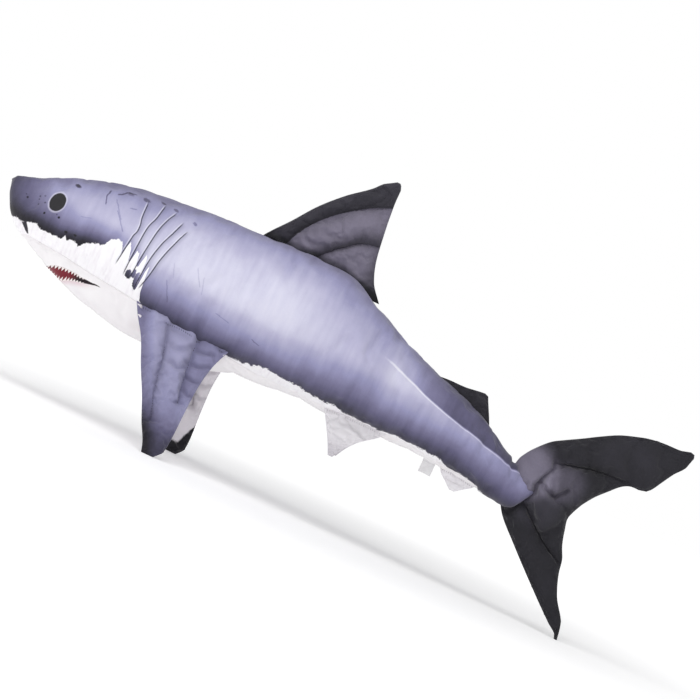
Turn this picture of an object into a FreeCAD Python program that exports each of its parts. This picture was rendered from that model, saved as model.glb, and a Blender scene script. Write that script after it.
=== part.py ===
import FreeCAD, Part
import os

# A stuffed cloth shark, 1.2 m long, sewn from printed panels and filled with loose fibre.
# Millimetres. X runs from the nose (negative) to the tail, the shark's left side faces -Y, +Z is up.
# The origin is the middle of the bounding box, on the floor: the shark stands on the tips
# of its two pectoral fins and on the tip of the lower tail lobe.

doc = FreeCAD.newDocument("plush_shark")
sheet = doc.addObject("Spreadsheet::Sheet", "Sizes")
row_count = 0


def put(alias, value):
    """Write one driving dimension to the sheet, with its alias."""
    global row_count
    row_count += 1
    sheet.set("A%d" % row_count, alias)
    sheet.set("B%d" % row_count, str(value))
    sheet.setAlias("B%d" % row_count, alias)


def put_rows(prefix, columns, rows):
    """Write a list of sections to the sheet, one alias for each number."""
    for number, row in enumerate(rows, start=1):
        for column, value in zip(columns, row):
            put("%s_%d_%s" % (prefix, number, column), value)


def size(alias):
    """Read one driving dimension back from the sheet."""
    return float(sheet.get(alias))


# ---------------------------------------------------------------- driving dimensions

put("skin", 2.0)               # printed cloth with its backing
put("ease", 0.3)               # room between the cloth and the filling
put("root_gap", 4.0)           # room under a fin, where its cloth bends
put("seam_width", 1.2)         # a row of stitches
put("seam_low", 0.1)           # a row of stitches starts this far above the cloth
put("seam_high", 0.8)          # and ends this far above it
put("root_seam_low", 0.3)      # the same for the seam that joins a fin to the body
put("root_seam_high", 2.4)
put("reach", 400)              # half size of the blocks that halve or trim a piece

# Each fin is drawn in a frame of its own: where that frame stands, and how far it is turned.
# Pitch follows the slope of the back, yaw the narrowing flank, and lean carries a fin outward.
FRAME_COLUMNS = ("base_x", "base_y", "base_z", "pitch", "yaw", "lean")
FRAMES = {
    "dorsal": (0, 0, 0, 0, 0, 0),
    "second_dorsal": (173, 0, 307, 20, 0, 0),
    "anal": (0, 0, 0, 0, 0, 0),
    "tail": (350, 0, 200, 15, 0, 0),
    "pectoral": (0, -54, 200, 0, 6, 22),
    "pelvic": (0, -27, 181, 0, 0, 20),
}
for frame_name, frame_row in FRAMES.items():
    for frame_column, frame_value in zip(FRAME_COLUMNS, frame_row):
        put("%s_%s" % (frame_name, frame_column), frame_value)

# the tail swings about the upright axis of its own frame, round the blunt end of the body
put("knuckle_radius", 36.5)
put("knuckle_half_height", 48)

put("closing_start", -110)     # the hand-sewn opening in the belly seam
put("closing_length", 100)
put("label_x", 205)            # the care label hangs from the belly seam on the right side
put("label_y", 20.6)
put("label_z", 178.8)
put("label_droop", 62)
put("label_width", 22)
put("label_length", 32)
put("label_thick", 0.6)

# Stations of the body: place along X, height of the back, height of the belly, half width.
BODY_COLUMNS = ("place", "back", "belly", "half_width")
BODY = [
    (-600, 311, 298, 4),
    (-593, 314, 280, 14),
    (-580, 318, 257, 24),
    (-555, 327, 233, 38),
    (-515, 343, 213, 56),
    (-460, 363, 189, 76),
    (-390, 380, 168, 92),
    (-300, 387, 154, 103),
    (-200, 395, 153, 107),
    (-120, 398, 171, 106),
    (-40, 395, 177, 102),
    (40, 364, 177, 90),
    (120, 327, 177, 74),
    (200, 300, 176, 58),
    (270, 274, 171, 46),
    (330, 242, 163, 36),
    (352, 230, 165, 32),
    (370, 219, 178, 20),
    (382, 210, 191, 9),
]
put_rows("station", BODY_COLUMNS, BODY)

# Edge of the belly panel seen from the side: place along X and height.
SEAM_COLUMNS = ("place", "height")
SEAM = [
    (-590, 226), (-537, 229), (-444, 223), (-340, 211), (-250, 200), (-160, 189),
    (-90, 183), (0, 182), (110, 182), (200, 180), (270, 174), (345, 156),
]
put_rows("belly_seam", SEAM_COLUMNS, SEAM)

# Slices of each fin in its own frame: level, front edge, rear edge, half thickness.
SLICE_COLUMNS = ("level", "front", "rear", "half_thick")
FINS = {
    "dorsal": [
        (372, -200, 34, 4), (400, -182, 12, 6), (435, -154, 0, 13.5), (475, -124, -6, 15),
        (510, -90, -10, 12), (540, -54, -12, 8), (564, -25, -14, 3),
    ],
    "second_dorsal": [
        (-8, -16, 122, 3.5), (6, 12, 108, 6), (18, 43, 95, 6.5), (28, 62, 84, 4.5), (33, 72, 79, 2.5),
    ],
    "anal": [
        (188, 228, 310, 2.6), (166, 241, 298, 4), (157, 252, 286, 4), (147, 264, 273, 2.5),
    ],
    "tail": [
        (-150, 215, 222, 2.6), (-127, 177, 210, 5.5), (-104, 129, 187, 9), (-76, 73, 161, 13),
        (-42, 14, 142, 18), (0, -10, 114, 21), (42, -14, 112, 20), (76, -1, 122, 17.5),
        (104, 18, 139, 15), (126, 39, 162, 12.5), (146, 59, 179, 10.5), (166, 81, 189, 8.5),
        (186, 107, 195, 6.5), (205, 142, 198, 4.8), (217, 172, 200, 3.5), (225, 193, 198.6, 2.5),
    ],
    "pectoral": [
        (24, -314, -138, 4), (-6, -305, -152, 6), (-40, -288, -164, 15), (-85, -268, -171, 17.5),
        (-130, -246, -173, 14), (-172, -228, -174, 10.5), (-200, -214, -177, 7), (-217, -209, -190, 4.5),
    ],
    "pelvic": [
        (16, 18, 144, 2.6), (-8, 31, 124, 5), (-30, 44, 98, 6), (-52, 56, 81, 4.5), (-69, 64, 72, 2.5),
    ],
}
for fin_name, slices in FINS.items():
    put_rows(fin_name, SLICE_COLUMNS, slices)

# Rows of quilting on the larger fins, in the fin's frame: place and height, root end first.
QUILTING = {
    "dorsal": [
        [(-141, 412), (-118, 447), (-70, 491), (-14, 522)],
        [(-80, 411), (-60, 429), (-30, 450), (-4, 456)],
    ],
    "pectoral": [
        [(-244, -24), (-238, -54), (-228, -112), (-214, -162)],
        [(-202, -24), (-200, -50), (-195, -88), (-190, -118)],
    ],
    "tail": [
        [(37, 71), (61, 85), (96, 104), (146, 121)],
        [(48, -16), (70, -27), (103, -41), (140, -50)],
    ],
}
for fin_name, rows in QUILTING.items():
    for row_number, points in enumerate(rows, start=1):
        put_rows("%s_quilt_%d" % (fin_name, row_number), SEAM_COLUMNS, points)

doc.recompute()

# ---------------------------------------------------------------- building blocks

NO_TURN = "create(<<rotation>>; 0; 0; 0)"
UPRIGHT = "create(<<placement>>; create(<<vector>>; 0; 0; 0); %s)" % NO_TURN


def frame_of(prefix):
    """Placement of a fin's own frame, as an expression."""
    cell = "Sizes.%s_" % prefix
    base = "create(<<vector>>; %sbase_x; %sbase_y; %sbase_z)" % (cell, cell, cell)
    yaw = "create(<<rotation>>; create(<<vector>>; 0; 0; 1); %syaw)" % cell
    pitch = "create(<<rotation>>; create(<<vector>>; 0; 1; 0); %spitch)" % cell
    lean = "create(<<rotation>>; create(<<vector>>; 1; 0; 0); -%slean)" % cell
    return "create(<<placement>>; %s; %s * %s * %s)" % (base, yaw, pitch, lean)


def loft(name, sections, placement=UPRIGHT):
    """Smooth solid through a list of closed sections."""
    solid = doc.addObject("Part::Loft", name)
    solid.Sections = sections
    solid.Solid = True
    solid.Ruled = False
    solid.setExpression("Placement", placement)
    return solid


def body_loft(name, growth, first, last):
    """The body's form through upright ellipses, grown by an expression, between two stations."""
    sections = []
    for number in range(first, last + 1):
        ring = doc.addObject("Part::Ellipse", "%s_ring_%d" % (name, number))
        cell = "Sizes.station_%d_" % number
        ring.setExpression("MajorRadius", "(%sback - %sbelly) / 2 + %s" % (cell, cell, growth))
        ring.setExpression("MinorRadius", "%shalf_width + %s" % (cell, growth))
        ring.Placement.Rotation = FreeCAD.Rotation(FreeCAD.Vector(0, 1, 0), -90)
        ring.setExpression("Placement.Base.x", cell + "place")
        ring.setExpression("Placement.Base.z", "(%sback + %sbelly) / 2" % (cell, cell))
        sections.append(ring)
    return loft(name, sections)


def fin_loft(name, prefix, growth, first, last):
    """A fin's form through level ellipses, grown by an expression, between two slices."""
    sections = []
    for number in range(first, last + 1):
        oval = doc.addObject("Part::Ellipse", "%s_oval_%d" % (name, number))
        cell = "Sizes.%s_%d_" % (prefix, number)
        oval.setExpression("MajorRadius", "(%srear - %sfront) / 2 + %s" % (cell, cell, growth))
        oval.setExpression("MinorRadius", "%shalf_thick + %s" % (cell, growth))
        oval.setExpression("Placement.Base.x", "(%srear + %sfront) / 2" % (cell, cell))
        oval.setExpression("Placement.Base.z", cell + "level")
        sections.append(oval)
    return loft(name, sections, frame_of(prefix))


def cut(name, base, tool):
    """Base without tool."""
    piece = doc.addObject("Part::Cut", name)
    piece.Base = base
    piece.Tool = tool
    return piece


def common(name, base, tool):
    """What base and tool share."""
    piece = doc.addObject("Part::Common", name)
    piece.Base = base
    piece.Tool = tool
    return piece


def mirrored(name, source):
    """The same piece on the shark's right side."""
    piece = doc.addObject("Part::Mirroring", name)
    piece.Source = source
    piece.Base = FreeCAD.Vector(0, 0, 0)
    piece.Normal = FreeCAD.Vector(0, 1, 0)
    return piece


def near_half(name, placement=UPRIGHT):
    """Large block on the -Y side of a fin's or the body's own middle plane."""
    block = doc.addObject("Part::Box", name)
    for side in ("Length", "Height"):
        block.setExpression(side, "4 * Sizes.reach")
    block.setExpression("Width", "Sizes.reach")
    shift = "create(<<vector>>; -2 * Sizes.reach; -Sizes.reach; -2 * Sizes.reach)"
    place = "%s * create(<<placement>>; %s; %s)" % (placement, shift, NO_TURN)
    block.setExpression("Placement", place)
    return block


def ribbon(name, prefix, count, placement=UPRIGHT):
    """Wall that follows a row of stitches: a curve, widened to the row and run across the piece."""
    points = []
    for number in range(1, count + 1):
        cell = "%s_%d_" % (prefix, number)
        points.append(FreeCAD.Vector(size(cell + "place"), 0, size(cell + "height")))
    curve = Part.BSplineCurve()
    curve.interpolate(points)
    half = size("seam_width") / 2
    sides = []
    for offset in (-half, half):
        shifted = []
        for point in points:
            along = curve.tangent(curve.parameter(point))[0]
            shifted.append(point + FreeCAD.Vector(-along.z, 0, along.x) * offset)
        side = Part.BSplineCurve()
        side.interpolate(shifted)
        sides.append(side)
    ends = [Part.LineSegment(sides[0].EndPoint, sides[1].EndPoint),
            Part.LineSegment(sides[1].StartPoint, sides[0].StartPoint)]
    outline = Part.Wire([sides[0].toShape(), ends[0].toShape(), sides[1].toShape(), ends[1].toShape()])
    band = doc.addObject("Part::Feature", name + "_band")
    band.Shape = Part.Face(outline)
    wall = doc.addObject("Part::Extrusion", name)
    wall.Base = band
    wall.DirMode = "Custom"
    wall.Dir = FreeCAD.Vector(0, 1, 0)
    wall.setExpression("LengthFwd", "Sizes.reach / 2")
    wall.setExpression("LengthRev", "Sizes.reach / 2")
    wall.Solid = True
    wall.setExpression("Placement", placement)
    return wall


# ---------------------------------------------------------------- the body

ALL = len(BODY)
outer_form = body_loft("outer_form", "0", 1, ALL)
lining_form = body_loft("lining_form", "-Sizes.skin", 2, ALL - 1)
fill_form = body_loft("fill_form", "-(Sizes.skin + Sizes.ease)", 2, ALL - 1)
fin_room = body_loft("fin_room", "Sizes.root_gap", 1, ALL)
root_seam_inside = body_loft("root_seam_inside", "Sizes.root_seam_low", 1, ALL)
root_seam_outside = body_loft("root_seam_outside", "Sizes.root_seam_high", 1, ALL)
root_seam_layer = cut("root_seam_layer", root_seam_outside, root_seam_inside)
stitch_inside = body_loft("stitch_inside", "Sizes.seam_low", 1, ALL)
stitch_outside = body_loft("stitch_outside", "Sizes.seam_high", 1, ALL)
stitch_layer = cut("stitch_layer", stitch_outside, stitch_inside)

left_block = near_half("left_block")


def belly_block():
    """Everything below the edge of the belly panel."""
    points = []
    for number in range(1, len(SEAM) + 1):
        cell = "belly_seam_%d_" % number
        points.append(FreeCAD.Vector(size(cell + "place"), 0, size(cell + "height")))
    edge = Part.BSplineCurve()
    edge.interpolate(points)
    first = FreeCAD.Vector(points[0].x, 0, 0)
    last = FreeCAD.Vector(points[-1].x, 0, 0)
    floor = Part.makePolygon([points[-1], last, first, points[0]])
    profile = doc.addObject("Part::Feature", "belly_profile")
    profile.Shape = Part.Face(Part.Wire([edge.toShape()] + floor.Edges))
    block = doc.addObject("Part::Extrusion", "belly_block")
    block.Base = profile
    block.DirMode = "Custom"
    block.Dir = FreeCAD.Vector(0, 1, 0)
    block.setExpression("LengthFwd", "Sizes.reach / 2")
    block.setExpression("LengthRev", "Sizes.reach / 2")
    block.Solid = True
    return block


below_seam = belly_block()
body_shell = cut("body_shell", outer_form, lining_form)
side_shell = cut("side_shell", body_shell, below_seam)

pieces = {}
pieces["body_stuffing"] = fill_form
pieces["belly_panel"] = common("belly_panel", body_shell, below_seam)
pieces["left_side_panel"] = common("left_side_panel", side_shell, left_block)
pieces["right_side_panel"] = cut("right_side_panel", side_shell, left_block)


def closing_stitches():
    """The hand-sewn row that closes the filling hole, in the belly seam on the right side."""
    row = ribbon("closing_wall", "belly_seam", len(SEAM))
    span = doc.addObject("Part::Box", "closing_span")
    span.setExpression("Length", "Sizes.closing_length")
    span.setExpression("Width", "Sizes.reach")
    span.setExpression("Height", "Sizes.reach")
    span.setExpression("Placement.Base.x", "Sizes.closing_start")
    return common("closing_stitches", common("closing_row", stitch_layer, row), span)


def care_label():
    """Blank folded satin label, sewn into the belly seam on the right side."""
    tag = doc.addObject("Part::Box", "care_label")
    tag.setExpression("Length", "Sizes.label_width")
    tag.setExpression("Width", "Sizes.label_length")
    tag.setExpression("Height", "Sizes.label_thick")
    corner = "create(<<vector>>; Sizes.label_x; Sizes.label_y; Sizes.label_z)"
    droop = "create(<<rotation>>; create(<<vector>>; 1; 0; 0); -Sizes.label_droop)"
    tag.setExpression("Placement", "create(<<placement>>; %s; %s)" % (corner, droop))
    return tag


pieces["closing_stitches"] = closing_stitches()
pieces["care_label"] = care_label()

# ---------------------------------------------------------------- fins


def root_seam(name, prefix, offset):
    """The row of stitches that joins a fin to the body, on the body's side of the bend."""
    wall = doc.addObject("Part::Box", name + "_wall")
    first = "Sizes.%s_2_" % prefix
    wall.setExpression("Length", "%srear - %sfront - 4 * Sizes.root_gap" % (first, first))
    wall.setExpression("Width", "Sizes.seam_width")
    wall.setExpression("Height", "Sizes.reach / 4")
    corner = "create(<<vector>>; %sfront + 2 * Sizes.root_gap; %s - Sizes.seam_width / 2; %s)"
    corner = corner % (first, offset, "%slevel - Sizes.reach / 8" % first)
    place = "%s * create(<<placement>>; %s; %s)" % (frame_of(prefix), corner, NO_TURN)
    wall.setExpression("Placement", place)
    return common(name, root_seam_layer, wall)


def fin(label, prefix, near_name, far_name, room, fill_first, fill_last):
    """Two sewn panels over a filling, trimmed clear of the body and level with the floor."""
    outer = fin_loft(label + "_outer", prefix, "0", 1, len(FINS[prefix]))
    lining = fin_loft(label + "_lining", prefix, "-Sizes.skin", fill_first, fill_last)
    inset = "-(Sizes.skin + Sizes.ease)"
    fill = fin_loft(label + "_fill", prefix, inset, fill_first, fill_last)
    shell = cut(label + "_trimmed", cut(label + "_shell", outer, lining), room)
    near = near_half(label + "_near", frame_of(prefix))
    return {
        "%s_%s" % (label, near_name): common("%s_%s" % (label, near_name), shell, near),
        "%s_%s" % (label, far_name): cut("%s_%s" % (label, far_name), shell, near),
        "%s_stuffing" % label: cut("%s_stuffing" % label, fill, room),
    }


def quilting(label, prefix):
    """Rows of stitches through both panels of a fin, lying on the cloth of each side."""
    low = fin_loft(label + "_stitch_low", prefix, "Sizes.seam_low", 1, len(FINS[prefix]))
    high = fin_loft(label + "_stitch_high", prefix, "Sizes.seam_high", 1, len(FINS[prefix]))
    layer = cut(label + "_stitch_layer", high, low)
    walls = []
    for number, points in enumerate(QUILTING[prefix], start=1):
        name = "%s_quilt_wall_%d" % (label, number)
        walls.append(ribbon(name, "%s_quilt_%d" % (prefix, number), len(points), frame_of(prefix)))
    both = doc.addObject("Part::MultiFuse", label + "_quilt_walls")
    both.Shapes = walls
    return common(label + "_quilting", layer, both)


floor_block = doc.addObject("Part::Box", "floor_block")
floor_block.setExpression("Length", "4 * Sizes.reach")
floor_block.setExpression("Width", "2 * Sizes.reach")
floor_block.setExpression("Height", "Sizes.reach")
floor_block.setExpression("Placement.Base.x", "-2 * Sizes.reach")
floor_block.setExpression("Placement.Base.y", "-Sizes.reach")
floor_block.setExpression("Placement.Base.z", "-Sizes.reach")

fin_trim = doc.addObject("Part::MultiFuse", "fin_trim")
fin_trim.Shapes = [fin_room, floor_block]

knuckle_room = doc.addObject("Part::Cylinder", "knuckle_room")
knuckle_room.setExpression("Radius", "Sizes.knuckle_radius")
knuckle_room.setExpression("Height", "2 * Sizes.knuckle_half_height")
knuckle_drop = "create(<<vector>>; 0; 0; -Sizes.knuckle_half_height)"
knuckle_place = "%s * create(<<placement>>; %s; %s)" % (frame_of("tail"), knuckle_drop, NO_TURN)
knuckle_room.setExpression("Placement", knuckle_place)
tail_trim = doc.addObject("Part::MultiFuse", "tail_trim")
tail_trim.Shapes = [fin_room, floor_block, knuckle_room]

# fins on the middle plane
pieces.update(fin("dorsal_fin", "dorsal", "left_panel", "right_panel", fin_trim, 1, 6))
pieces.update(fin("second_dorsal", "second_dorsal", "left_panel", "right_panel", fin_trim, 1, 4))
pieces.update(fin("anal_fin", "anal", "left_panel", "right_panel", fin_trim, 1, 3))
pieces.update(fin("tail_fin", "tail", "left_panel", "right_panel", tail_trim, 2, 15))
pieces["dorsal_fin_quilting"] = quilting("dorsal_fin", "dorsal")
pieces["tail_fin_quilting"] = quilting("tail_fin", "tail")
pieces["dorsal_fin_root_seam"] = root_seam("dorsal_fin_root_seam", "dorsal", "0")
pieces["second_dorsal_root_seam"] = root_seam("second_dorsal_root_seam", "second_dorsal", "0")
pieces["anal_fin_root_seam"] = root_seam("anal_fin_root_seam", "anal", "0")

# paired fins: the left one, and its mirror image on the right
left_fins = fin("left_pectoral", "pectoral", "upper_panel", "lower_panel", fin_trim, 1, 7)
left_fins.update(fin("left_pelvic", "pelvic", "outer_panel", "inner_panel", fin_trim, 1, 4))
left_fins["left_pectoral_quilting"] = quilting("left_pectoral", "pectoral")
left_fins["left_pectoral_root_seam"] = root_seam("left_pectoral_root_seam", "pectoral", "-3")
left_fins["left_pelvic_root_seam"] = root_seam("left_pelvic_root_seam", "pelvic", "-2")
pieces.update(left_fins)
for left_name, left_piece in left_fins.items():
    right_name = left_name.replace("left_", "right_", 1)
    pieces[right_name] = mirrored(right_name, left_piece)

# ---------------------------------------------------------------- check and write

doc.recompute()
for name, piece in pieces.items():
    piece.Label = name
for item in doc.Objects:
    if "Invalid" in item.State or "Error" in item.State:
        raise RuntimeError("%s failed: %s" % (item.Label, item.State))
for name, piece in pieces.items():
    if piece.Shape.isNull() or not piece.Shape.isValid() or not piece.Shape.Solids:
        raise RuntimeError("%s has no valid solid" % name)

os.makedirs("parts", exist_ok=True)
for name, piece in pieces.items():
    piece.Shape.exportStep("parts/%s.step" % name)
    print("%-28s %9.1f cm3  solids %d" % (name, piece.Shape.Volume / 1000, len(piece.Shape.Solids)))
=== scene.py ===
import math

import bpy
import numpy as np
from mathutils import Matrix, Vector


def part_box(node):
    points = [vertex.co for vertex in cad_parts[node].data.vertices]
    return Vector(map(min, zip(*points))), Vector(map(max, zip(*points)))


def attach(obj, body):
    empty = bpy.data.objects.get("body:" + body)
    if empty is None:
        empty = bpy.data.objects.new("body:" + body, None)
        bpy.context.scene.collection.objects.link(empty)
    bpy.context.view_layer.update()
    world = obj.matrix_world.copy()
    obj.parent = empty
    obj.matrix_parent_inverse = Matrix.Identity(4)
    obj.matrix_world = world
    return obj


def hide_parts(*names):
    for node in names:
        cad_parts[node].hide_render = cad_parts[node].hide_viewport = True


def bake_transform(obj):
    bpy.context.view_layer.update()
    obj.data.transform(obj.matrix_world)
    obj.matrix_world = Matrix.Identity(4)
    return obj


# A stuffed cloth shark: two printed side panels, a white belly panel and seven sewn fins.
# Lengths below are millimetres in the row frame; meshes are made in metres.

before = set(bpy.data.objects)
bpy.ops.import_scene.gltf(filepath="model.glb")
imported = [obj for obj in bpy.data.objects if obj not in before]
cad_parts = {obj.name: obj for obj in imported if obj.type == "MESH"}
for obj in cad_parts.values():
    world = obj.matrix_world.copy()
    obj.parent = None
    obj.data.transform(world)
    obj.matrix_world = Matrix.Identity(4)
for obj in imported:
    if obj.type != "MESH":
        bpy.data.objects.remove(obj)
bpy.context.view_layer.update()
MM = 0.001
CENTRE_X, CENTRE_Z = 19.0, 284.5            # what the camera looks at
YAW, ROLL = math.radians(3.2), math.radians(25)
DISTANCE = 4300.0                           # from the camera to the shark's middle
PRINT_SCALE, PRINT_SHIFT = 1.002, -3.5      # fits the print's design to the stuffed shape
VIEW_WIDTH = 1143.0                         # how wide the view is at the shark's middle
SENSOR = 36.0

# ------------------------------------------------------------------ curves and noise


def smooth_curve(points):
    """A monotone cubic curve through given points, as a function."""
    xs, ys = np.array(points, float).T
    gap = np.diff(xs)
    slope = np.diff(ys) / gap
    tangent = np.zeros(len(xs))
    tangent[0], tangent[-1] = slope[0], slope[-1]
    for i in range(1, len(xs) - 1):
        if slope[i - 1] * slope[i] > 0:
            a, b = 2 * gap[i] + gap[i - 1], gap[i] + 2 * gap[i - 1]
            tangent[i] = (a + b) / (a / slope[i - 1] + b / slope[i])

    def at(x):
        x = np.clip(x, xs[0], xs[-1])
        i = np.clip(np.searchsorted(xs, x) - 1, 0, len(gap) - 1)
        t = (x - xs[i]) / gap[i]
        return (ys[i] * (2 * t**3 - 3 * t**2 + 1) + gap[i] * tangent[i] * (t**3 - 2 * t**2 + t)
                + ys[i + 1] * (3 * t**2 - 2 * t**3) + gap[i] * tangent[i + 1] * (t**3 - t**2))

    return at


def ripple(points, size, seed, waves=14):
    """Smooth noise between -1 and 1, with features of about that size."""
    rng = np.random.default_rng(seed)
    total = np.zeros(points.shape[:-1])
    for _ in range(waves):
        way = rng.normal(size=points.shape[-1])
        way *= 2 * math.pi / size * rng.uniform(0.4, 1.1) / np.linalg.norm(way)
        total += np.sin(points @ way + rng.uniform(0, 2 * math.pi))
    return total / math.sqrt(waves) / 1.4


def polyline_distance(x, z, line):
    """Distance in a plane from each point to a polyline."""
    line = np.array(line, float)
    best = np.full(np.shape(x), 1e9)
    for (ax, az), (bx, bz) in zip(line[:-1], line[1:]):
        dx, dz = bx - ax, bz - az
        t = np.clip(((x - ax) * dx + (z - az) * dz) / (dx * dx + dz * dz + 1e-9), 0, 1)
        best = np.minimum(best, np.hypot(x - ax - t * dx, z - az - t * dz))
    return best


def smooth_line(points, count=40):
    """A polyline through given points, rounded between them."""
    points = np.array(points, float)
    s = np.concatenate([[0], np.cumsum(np.linalg.norm(np.diff(points, axis=0), axis=1))])
    fine = np.linspace(0, s[-1], count)
    return np.stack([smooth_curve(np.stack([s, points[:, k]], 1))(fine)
                     for k in range(points.shape[1])], 1)


def step(value, low, high):
    """0 below low, 1 above high, smooth between."""
    t = np.clip((value - low) / (high - low), 0, 1)
    return t * t * (3 - 2 * t)


# ------------------------------------------------------------------ meshes

SHEET = 1.5        # thickness of the printed cloth with its backing


def make_object(name, points, faces, attributes=()):
    """A smooth-shaded mesh from points in millimetres, with named vectors on its points."""
    mesh = bpy.data.meshes.new(name)
    mesh.from_pydata((np.asarray(points) * MM).tolist(), [], faces)
    for label, values in attributes:
        layer = mesh.attributes.new(label, "FLOAT_VECTOR", "POINT")
        layer.data.foreach_set("vector", np.asarray(values, np.float32).ravel())
    mesh.shade_smooth()
    obj = bpy.data.objects.new(name, mesh)
    bpy.context.scene.collection.objects.link(obj)
    return obj


def grid_normals(grid):
    """Unit normals of a grid of points, from its own slopes."""
    normal = np.cross(np.gradient(grid, axis=0), np.gradient(grid, axis=1))
    return normal / np.maximum(np.linalg.norm(normal, axis=-1, keepdims=True), 1e-9)


def cloth_sheet(name, grid, normals, printed, flip=False, thickness=SHEET):
    """A closed sheet of cloth: its outer face is the grid and its inner face lies under it."""
    rows, columns = grid.shape[:2]
    outer = grid.reshape(-1, 3)
    inner = (grid - normals * thickness).reshape(-1, 3)
    count = rows * columns
    index = np.arange(count).reshape(rows, columns)
    a, b, c, d = index[:-1, :-1], index[1:, :-1], index[1:, 1:], index[:-1, 1:]
    faces = np.stack([a, b, c, d], -1).reshape(-1, 4)
    rim = np.concatenate([index[0, :], index[1:, -1], index[-1, -2::-1], index[-2:0:-1, 0]])
    rim_next = np.roll(rim, -1)
    sides = np.stack([rim, rim_next, rim_next + count, rim + count], -1)
    faces = np.concatenate([faces, faces[:, ::-1] + count, sides])
    if flip:
        faces = faces[:, ::-1]
    values = np.concatenate([printed.reshape(-1, 3)] * 2)
    rest = np.concatenate([outer, inner])
    return make_object(name, rest, faces.tolist(), [("printed", values), ("rest", rest)])


def stitch_row(name, starts, ends, outward, radius, lift):
    """Separate thread stitches, each a short arched capsule from a start to an end point."""
    sides, rings = 6, 7
    points, faces = [], []
    for start, end, up in zip(starts, ends, outward):
        along = end - start
        length = np.linalg.norm(along)
        if length < 0.2:
            continue
        along = along / length
        up = up - along * (up @ along)
        up = up / max(np.linalg.norm(up), 1e-9)
        across = np.cross(along, up)
        base = len(points)
        for ring in range(rings):
            t = ring / (rings - 1)
            centre = start + along * length * t + up * lift * math.sin(math.pi * t)
            r = radius * (0.35 + 0.65 * math.sin(math.pi * (0.12 + 0.76 * t)))
            for side in range(sides):
                turn = 2 * math.pi * side / sides
                points.append(centre + across * r * math.cos(turn) + up * r * math.sin(turn))
        for ring in range(rings - 1):
            for side in range(sides):
                p, q = base + ring * sides + side, base + ring * sides + (side + 1) % sides
                faces.append([p, q, q + sides, p + sides])
        faces.append([base + side for side in reversed(range(sides))])
        faces.append([base + (rings - 1) * sides + side for side in range(sides)])
    points = np.array(points)
    return make_object(name, points, faces, [("rest", points), ("printed", points)])


# ------------------------------------------------------------------ cloth simulation


def resample(field, places):
    """Values along the first axis at fractional rows, on a smooth curve through the rows."""
    last = len(field) - 1
    i = np.clip(np.floor(places).astype(int), 0, last - 1)
    t = (places - i).reshape(-1, *([1] * (field.ndim - 1)))
    before, here = field[np.maximum(i - 1, 0)], field[i]
    after, beyond = field[i + 1], field[np.minimum(i + 2, last)]
    square = 2 * before - 5 * here + 4 * after - beyond
    cube = 3 * here - before - 3 * after + beyond
    return 0.5 * (2 * here + (after - before) * t + square * t**2 + cube * t**3)


PRESSURE = 3.0     # of the filling
MOMENTS = 20
CAP = 4.0          # the furthest that any point moves


def settle(grid, normals, held, pitch, growth):
    """Let the cloth of a panel swell and pucker between the lines where it is held.

    A coarse copy of the grid is simulated with its held points pinned, its cloth a little too
    large and the filling pushing outward. The shift of each point comes back on the full grid.
    """
    rows, columns = grid.shape[:2]
    long = np.linalg.norm(np.diff(grid, axis=0), axis=-1).sum(0).max()
    wide = np.linalg.norm(np.diff(grid, axis=1), axis=-1).sum(1).max()
    few_rows, few_columns = max(8, int(long / pitch)), max(8, int(wide / pitch))
    r = np.linspace(0, rows - 1, few_rows).round().astype(int)
    c = np.linspace(0, columns - 1, few_columns).round().astype(int)
    coarse = grid[np.ix_(r, c)]
    index = np.arange(few_rows * few_columns).reshape(few_rows, few_columns)
    corners = [index[:-1, :-1], index[1:, :-1], index[1:, 1:], index[:-1, 1:]]
    faces = np.stack(corners, -1).reshape(-1, 4)
    facing = np.mean(np.sum(grid_normals(coarse) * normals[np.ix_(r, c)], -1))
    if facing < 0:
        faces = faces[:, ::-1]
    obj = make_object("settling", coarse.reshape(-1, 3), faces.tolist())
    group = obj.vertex_groups.new(name="held")
    pinned = np.clip(held[np.ix_(r, c)], 0, 1)
    for number, weight in enumerate(pinned.ravel()):
        group.add([number], float(weight), "REPLACE")
    cloth = obj.modifiers.new("Cloth", "CLOTH")
    for setting, value in (("quality", 5), ("mass", 0.2), ("tension_stiffness", 25),
                           ("compression_stiffness", 25), ("shear_stiffness", 8),
                           ("bending_stiffness", 0.4), ("vertex_group_mass", "held")):
        setattr(cloth.settings, setting, value)
    cloth.settings.shrink_min = -growth
    cloth.settings.use_pressure = True
    cloth.settings.uniform_pressure_force = PRESSURE
    cloth.settings.effector_weights.gravity = 0
    cloth.collision_settings.use_collision = False
    scene = bpy.context.scene
    for moment in range(1, MOMENTS + 1):
        scene.frame_set(moment)
    mesh = obj.evaluated_get(bpy.context.evaluated_depsgraph_get()).data
    moved = np.zeros(len(mesh.vertices) * 3, np.float32)
    mesh.vertices.foreach_get("co", moved)
    moved = moved.reshape(few_rows, few_columns, 3) / MM - coarse
    bpy.data.objects.remove(obj)
    scene.frame_set(1)
    length = np.linalg.norm(moved, axis=-1, keepdims=True)
    moved *= np.minimum(1, CAP / np.maximum(length, 1e-6))
    moved *= (1 - pinned ** 4)[..., None]
    half = resample(moved, np.interp(np.arange(rows), r, np.arange(few_rows)))
    full = resample(half.swapaxes(0, 1), np.interp(np.arange(columns), c, np.arange(few_columns)))
    return grid + full.swapaxes(0, 1)


# ------------------------------------------------------------------ the body

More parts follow.
